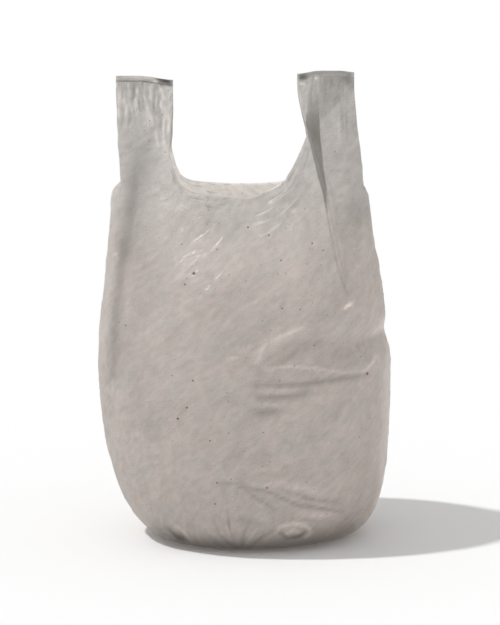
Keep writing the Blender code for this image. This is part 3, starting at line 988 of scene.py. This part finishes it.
def streak_space(tree, vector, turn, stretch):
    """Film coordinates turned to the slant of its streaks, and stretched along them."""
    turned = tree.nodes.new("ShaderNodeMapping")
    turned.inputs["Rotation"].default_value = (0.0, 0.0, turn)
    squeezed = tree.nodes.new("ShaderNodeMapping")
    squeezed.inputs["Scale"].default_value = (1.0 / stretch, 1.0, 1.0)
    tree.links.new(vector, turned.inputs["Vector"])
    tree.links.new(turned.outputs[0], squeezed.inputs["Vector"])
    return squeezed.outputs[0]


def noise_node(tree, vector, scale, detail=3.0, distortion=0.0):
    node = add_node(tree, "ShaderNodeTexNoise", Scale=scale, Detail=detail, Distortion=distortion)
    tree.links.new(vector, node.inputs["Vector"])
    return node.outputs["Fac"]


def new_group(name, inputs, outputs):
    """An empty shader node group with the named sockets."""
    group = bpy.data.node_groups.new(name, "ShaderNodeTree")
    for label, kind in inputs:
        group.interface.new_socket(label, in_out="INPUT", socket_type=kind)
    for label in outputs:
        group.interface.new_socket(label, in_out="OUTPUT", socket_type="NodeSocketFloat")
    start = group.nodes.new("NodeGroupInput")
    end = group.nodes.new("NodeGroupOutput")
    return group, start, end


def film_mottle_group():
    """Cloudy tone, warm and cool patches, and the grain of recycled film."""
    ins = [("Vector", "NodeSocketVector")]
    group, start, end = new_group("film_mottle", ins, ["Tone", "Warmth"])
    vector = start.outputs["Vector"]
    slanted = streak_space(group, vector, MOTTLE_TURN, MOTTLE_STRETCH)
    tone = 1.0 - sum(part[0] for part in MOTTLE) / 2
    for strength, waves, detail, distortion, streaked in MOTTLE:
        wave = noise_node(group, slanted if streaked else vector, waves, detail, distortion)
        tone = total(group, product(group, wave, strength), tone)
    warmth = noise_node(group, slanted, WARMTH_WAVES, 3.0, 0.6)
    group.links.new(tone, end.inputs["Tone"])
    group.links.new(spread_node(group, warmth, *WARMTH_RANGE), end.inputs["Warmth"])
    return group


def ridges(group, vector, sizes):
    """Sharp-topped ridges of several noises, in metres."""
    heights = []
    for waves, weight in sizes:
        wave = noise_node(group, vector, waves, 2.0, 0.8)
        sharp = math_node(group, "ABSOLUTE", math_node(group, "SUBTRACT", wave, 0.5))
        heights.append(product(group, sharp, weight * 2))
    return total(group, *heights)


def handle_creases(group, vector):
    """Ridges below the handle seals, the seals' lower lines, and highlights painted on the ridges
    as pale strokes.
    """
    split = group.nodes.new("ShaderNodeSeparateXYZ")
    group.links.new(vector, split.inputs[0])
    upright = streak_space(group, vector, SEAL_TURN, SEAL_STRETCH)
    near_seal = spread_node(group, split.outputs["Y"], *SEAL_RIDGE_RANGE)
    height = product(group, ridges(group, upright, SEAL_RIDGES), near_seal)
    left = math_node(group, "LESS_THAN", split.outputs["X"], 0.0)
    lift = product(group, left, LEFT_TOP - RIGHT_TOP)
    above = math_node(group, "SUBTRACT", split.outputs["Y"], lift)
    above = math_node(group, "SUBTRACT", above, RIGHT_TOP - SEAL_HEIGHT)
    seal = spread_node(group, math_node(group, "ABSOLUTE", above), *SEAL_LINE, 1.0, 0.0)
    seal = product(group, seal, spread_node(group, left, 0.0, 1.0, *SEAL_LINE_STRENGTH))
    stroke_glints = product(
        group,
        spread_node(group, noise_node(group, upright, STROKE_WAVES, 1.0, 0.9), *STROKE_CUT),
        spread_node(group, split.outputs["Y"], *STROKE_RANGE),
        spread_node(group, left, 0.0, 1.0, *STROKE_STRENGTH),
        math_node(group, "LESS_THAN", above, -STROKE_GAP),
    )
    return height, seal, stroke_glints


def rim_creases(group, rim):
    """Ridges, dark lines of painted crease shade, and glints painted on the taut creases, beside
    the notch's cut edge.
    """
    split = group.nodes.new("ShaderNodeSeparateXYZ")
    group.links.new(rim, split.inputs[0])
    along = streak_space(group, rim, 0.0, RIM_STRETCH)
    off_middle = math_node(group, "ABSOLUTE", split.outputs["X"])
    near_rim = product(
        group,
        spread_node(group, split.outputs["Y"], *RIM_FADE, 1.0, 0.0),
        spread_node(group, split.outputs["Y"], *RIM_LIP),
        spread_node(group, off_middle, STRIP_EDGE - RIM_END, STRIP_EDGE, 1.0, 0.0),
    )
    corner = total(group, spread_node(group, off_middle, *RIM_CORNER), RIM_MIDDLE_SHARE)
    height = product(group, ridges(group, along, RIM_RIDGES), product(group, near_rim, corner))
    thin = spread_node(group, noise_node(group, along, RIM_LINE_WAVES, 1.0, 0.3), *RIM_LINE_CUT)
    pulled_glints = spread_node(group, noise_node(group, along, PULLED_WAVES, 1.0, 0.3), *PULLED_CUT)
    for socket, *edges in PULLED_ZONE:
        pulled_glints = product(group, pulled_glints, spread_node(group, split.outputs[socket], *edges))
    return height, product(group, thin, near_rim), pulled_glints


def film_crinkle_group():
    """The height of the finest creases, in metres, and where dark lines and painted glints run.
    """
    ins = [("Vector", "NodeSocketVector"), ("Rim", "NodeSocketVector")]
    group, start, end = new_group("film_crinkle", ins, ["Height", "Lines", "PaintedGlints"])
    vector = start.outputs["Vector"]
    slanted = streak_space(group, vector, CRINKLE_TURN, CRINKLE_STRETCH)
    crinkles = ridges(group, slanted, CRINKLES)
    seal_ridges, seal, stroke_glints = handle_creases(group, vector)
    rim_ridges, dark, pulled_glints = rim_creases(group, start.outputs["Rim"])
    group.links.new(total(group, crinkles, seal_ridges, rim_ridges), end.inputs["Height"])
    group.links.new(total(group, dark, seal), end.inputs["Lines"])
    group.links.new(math_node(group, "MAXIMUM", stroke_glints, pulled_glints), end.inputs["PaintedGlints"])
    return group


def film_specks_group():
    """Dark specks: many random small ones, and the larger ones of the front."""
    ins = [("Vector", "NodeSocketVector"), ("Front", "NodeSocketVector")]
    ins += [("Depth", "NodeSocketFloat")]
    group, start, end = new_group("film_specks", ins, ["Mask"])
    mask = None
    for scale, radius, share in RANDOM_SPECKS:
        cells = add_node(group, "ShaderNodeTexVoronoi", voronoi_dimensions="2D", Scale=scale)
        group.links.new(start.outputs["Vector"], cells.inputs["Vector"])
        dot = spread_node(group, cells.outputs["Distance"], radius * 0.6, radius, 1.0, 0.0)
        split = group.nodes.new("ShaderNodeSeparateColor")
        group.links.new(cells.outputs["Color"], split.inputs[0])
        chosen = math_node(group, "LESS_THAN", split.outputs[0], share)
        part = product(group, dot, chosen, split.outputs[1])
        mask = part if mask is None else math_node(group, "MAXIMUM", mask, part)
    placed = None
    for across, up, radius in SPECKS:
        gap = add_node(group, "ShaderNodeVectorMath", operation="DISTANCE")
        group.links.new(start.outputs["Front"], gap.inputs[0])
        gap.inputs[1].default_value = (across * 0.001, up * 0.001, 0.0)
        size = radius * 0.001
        dot = spread_node(group, gap.outputs["Value"], size * 0.5, size, 1.0, 0.0)
        placed = dot if placed is None else math_node(group, "MAXIMUM", placed, dot)
    ahead = math_node(group, "LESS_THAN", start.outputs["Depth"], -MIDDLE_CLEAR)
    mask = math_node(group, "MAXIMUM", mask, product(group, placed, ahead))
    group.links.new(mask, end.inputs["Mask"])
    return group


def place_group(tree, group, vector):
    """A node group fed with the film's own coordinates."""
    node = tree.nodes.new("ShaderNodeGroup")
    node.node_tree = group
    tree.links.new(vector, node.inputs["Vector"])
    return node


def blend_colors(tree, factor, first, second, kind="MIX"):
    """A colour mix fed by sockets, numbers or colours; gives its output."""
    node = add_node(tree, "ShaderNodeMix", data_type="RGBA", blend_type=kind)
    sockets = (node.inputs[0], node.inputs[6], node.inputs[7])
    for socket, value in zip(sockets, (factor, first, second)):
        if isinstance(value, (float, tuple)):
            socket.default_value = value
        else:
            tree.links.new(value, socket)
    return node.outputs[2]


def painted_light_masks(tree):
    """Masks of the painted shadow, painted corner shade and painted lit strip, from each point's
    distance to their outlines.
    """
    # The layers attribute holds each point's distance to the outlines of painted shade and light
    layers = add_node(tree, "ShaderNodeAttribute", attribute_name="layers")
    split = tree.nodes.new("ShaderNodeSeparateXYZ")
    tree.links.new(layers.outputs["Vector"], split.inputs[0])
    return [spread_node(tree, split.outputs[axis], -EDGE_BLUR, EDGE_BLUR) for axis in "XYZ"]


def film_color(tree, film, place, crinkle):
    """The film's mottled tone, with painted shade and light, dark lines, painted glints and
    specks.
    """
    mottle = place_group(tree, film_mottle_group(), film)
    specks = place_group(tree, film_specks_group(), film)
    front = add_node(tree, "ShaderNodeUVMap", uv_map="front").outputs["UV"]
    tree.links.new(front, specks.inputs["Front"])
    tree.links.new(place.outputs["Y"], specks.inputs["Depth"])
    color = blend_colors(tree, mottle.outputs["Warmth"], COOL_FILM, WARM_FILM)
    # Greyer and painted lighter towards the top
    upper = spread_node(tree, place.outputs["Z"], *UPPER_RANGE)
    color = blend_colors(tree, upper, color, GREYER_PAINTED_LIGHTER_UPPER_FILM)
    color = blend_colors(tree, 1.0, color, mottle.outputs["Tone"], "MULTIPLY")
    # The shade attribute: painted shade and painted highlights, and painted light along the
    # back's rim
    shade = add_node(tree, "ShaderNodeAttribute", attribute_name="shade")
    color = blend_colors(tree, 1.0, color, shade.outputs["Fac"], "MULTIPLY")
    pleat_shadow, corner, strip = painted_light_masks(tree)
    # Painted shadow, painted corner shade, painted light on the strip, dark lines, painted glints
    # and specks
    for mask, share, tone in (
        (pleat_shadow, spread_node(tree, place.outputs["Z"], *BAND_FADE), PAINTED_SHADE_FILM),
        (corner, CORNER_SHARE, PAINTED_SHADE_FILM),
        (strip, STRIP_SHARE, PAINTED_LIGHT_FILM),
        (crinkle.outputs["Lines"], LINE_SHARE, LINE_TONE),
        (crinkle.outputs["PaintedGlints"], PAINTED_GLINT_SHARE, PAINTED_GLINT_FILM),
        (specks.outputs["Mask"], 1.0, SPECK_TONE),
    ):
        color = blend_colors(tree, product(tree, mask, share), color, tone)
    return color


def film_material():
    """Thin recycled film: warm grey, milky and see-through to light, softly glossy."""
    material = bpy.data.materials.new("recycled_film")
    material.use_nodes = True
    tree = material.node_tree
    shader = tree.nodes["Principled BSDF"]
    shader.inputs["Roughness"].default_value = FILM_ROUGHNESS
    shader.inputs["Specular IOR Level"].default_value = FILM_GLOSS
    film = add_node(tree, "ShaderNodeUVMap", uv_map="film").outputs["UV"]
    rim = add_node(tree, "ShaderNodeUVMap", uv_map="rim").outputs["UV"]
    place = tree.nodes.new("ShaderNodeSeparateXYZ")
    tree.links.new(tree.nodes.new("ShaderNodeTexCoord").outputs["Object"], place.inputs[0])
    crinkle = place_group(tree, film_crinkle_group(), film)
    tree.links.new(rim, crinkle.inputs["Rim"])
    color = film_color(tree, film, place, crinkle)
    tree.links.new(color, shader.inputs["Base Color"])

    bump = add_node(tree, "ShaderNodeBump", Strength=1.0, Distance=1.0)
    tree.links.new(crinkle.outputs["Height"], bump.inputs["Height"])
    tree.links.new(bump.outputs[0], shader.inputs["Normal"])
    through = tree.nodes.new("ShaderNodeBsdfTranslucent")
    tree.links.new(blend_colors(tree, PALER_THROUGH, color, LIT_THROUGH), through.inputs["Color"])
    blend = tree.nodes.new("ShaderNodeMixShader")
    blend.inputs[0].default_value = SHARE_THROUGH
    tree.links.new(shader.outputs[0], blend.inputs[1])
    tree.links.new(through.outputs[0], blend.inputs[2])
    tree.links.new(blend.outputs[0], tree.nodes["Material Output"].inputs["Surface"])
    return material


def front_map(mesh):
    """Record where each vertex lies as seen from the front, to place the larger specks."""
    places = np.array([v.co for v in mesh.vertices])
    across, up = seen_from_front(places)
    layer = mesh.uv_layers.new(name="front")
    for loop in mesh.loops:
        k = loop.vertex_index
        layer.data[loop.index].uv = (across[k], up[k])


def floor_object():
    """A plain pale floor that looks white to the eye."""
    bm = bmesh.new()
    bmesh.ops.create_grid(bm, x_segments=1, y_segments=1, size=FLOOR_SIZE)
    mesh = bpy.data.meshes.new("floor")
    bm.to_mesh(mesh)
    bm.free()
    floor = bpy.data.objects.new("floor", mesh)
    bpy.context.scene.collection.objects.link(floor)
    material = bpy.data.materials.new("pale_floor")
    material.use_nodes = True
    shader = material.node_tree.nodes["Principled BSDF"]
    shader.inputs["Base Color"].default_value = FLOOR_COLOR
    shader.inputs["Roughness"].default_value = 0.9
    shader.inputs["Specular IOR Level"].default_value = 0.1
    floor.data.materials.append(material)


def camera_object():
    camera = bpy.data.cameras.new("camera")
    camera.lens = LENS
    camera.sensor_fit = "VERTICAL"
    camera.sensor_height = PICTURE_HEIGHT
    holder = bpy.data.objects.new("camera", camera)
    bpy.context.scene.collection.objects.link(holder)
    back = Vector((0.0, -math.cos(EYE_TILT), math.sin(EYE_TILT)))
    holder.location = LOOK_AT + back * EYE_DISTANCE
    holder.rotation_euler = (-back).to_track_quat("-Z", "Y").to_euler()
    bpy.context.scene.camera = holder


def studio_light():
    """Even light all round, and one soft lamp high on the left."""
    world = bpy.data.worlds.new("studio")
    bpy.context.scene.world = world
    world.use_nodes = True
    tree = world.node_tree
    sky = tree.nodes["Background"]
    sky.inputs["Color"].default_value = (1.0, 1.0, 1.0, 1.0)
    sky.inputs["Strength"].default_value = SKY_LIGHT
    seen = add_node(tree, "ShaderNodeBackground", Strength=1.0)
    seen.inputs["Color"].default_value = (1.0, 1.0, 1.0, 1.0)
    path = tree.nodes.new("ShaderNodeLightPath")
    eye = math_node(tree, "MAXIMUM", path.outputs["Is Camera Ray"], path.outputs["Is Glossy Ray"])
    eye = math_node(tree, "MAXIMUM", eye, path.outputs["Is Transmission Ray"])
    blend = tree.nodes.new("ShaderNodeMixShader")
    tree.links.new(eye, blend.inputs[0])
    tree.links.new(sky.outputs[0], blend.inputs[1])
    tree.links.new(seen.outputs[0], blend.inputs[2])
    tree.links.new(blend.outputs[0], tree.nodes["World Output"].inputs["Surface"])
    sun = bpy.data.lights.new("key", "SUN")
    sun.energy = KEY_LIGHT
    sun.angle = KEY_ANGLE
    lamp = bpy.data.objects.new("key", sun)
    bpy.context.scene.collection.objects.link(lamp)
    lamp.rotation_euler = KEY_DIRECTION.to_track_quat("-Z", "Y").to_euler()


def main():
    camera_object()
    studio_light()
    floor_object()
    film = film_object()
    front_map(film.data)
    film.data.materials.append(film_material())
    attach(film, "root")
    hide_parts("liner_film")
    bpy.context.scene.view_settings.view_transform = "Standard"
    bpy.context.view_layer.update()


main()
